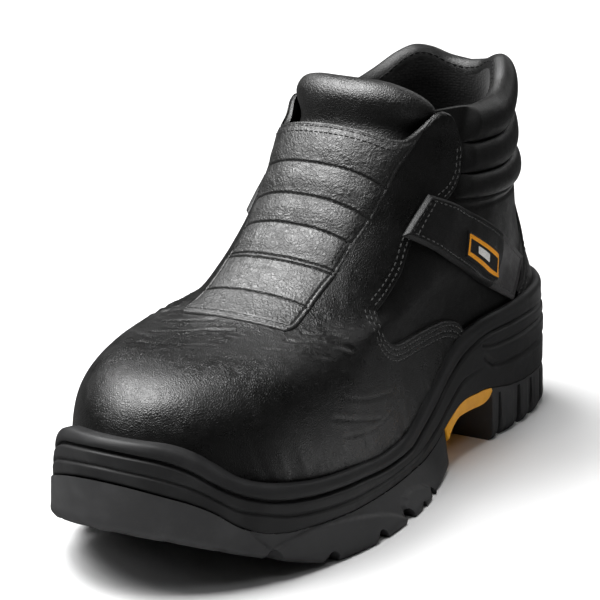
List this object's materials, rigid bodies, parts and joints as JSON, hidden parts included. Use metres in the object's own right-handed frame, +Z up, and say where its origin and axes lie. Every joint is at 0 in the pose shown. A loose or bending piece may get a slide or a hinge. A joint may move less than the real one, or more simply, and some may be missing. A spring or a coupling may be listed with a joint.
{
  "type": "safety boot",
  "caption": "Slip-on ankle-high black leather work boot with a quilted elastic instep flap, side straps, padded collar and lugged rubber sole.",
  "frame": {"origin": "middle of the sole's box at the floor, in the plane of the heel and forefoot tread", "axes": "+Z up, the toe points along -Y, the heel along +Y, and the outer (little toe) side of this left boot is +X"},
  "size_m": [0.1105, 0.3046, 0.1606],
  "materials": {
    "upper_leather": "satin",
    "vamp_leather": "gloss",
    "counter_leather": "satin",
    "flap_leather": "grained",
    "patch_leather": "grained",
    "lateral_strap_leather": "satin",
    "medial_strap_leather": "satin",
    "collar_leather": "satin",
    "tongue_leather": "satin",
    "label_cloth": "woven",
    "insole_cloth": "woven",
    "midsole_rubber": "satin",
    "forefoot_rubber": "matte",
    "heel_rubber": "matte",
    "arch_plastic": "satin"
  },
  "bodies": {
    "root": {"upper": "upper_leather", "vamp": "vamp_leather", "heel_counter": "counter_leather", "flap": "flap_leather", "instep_patch": "patch_leather", "strap_lateral": "lateral_strap_leather", "strap_medial": "medial_strap_leather", "collar": "collar_leather", "tongue": "tongue_leather", "label": "label_cloth", "insole": "insole_cloth", "midsole": "midsole_rubber", "outsole_forefoot": "forefoot_rubber", "outsole_heel": "heel_rubber", "arch_insert": "arch_plastic"}
  },
  "joints": []
}
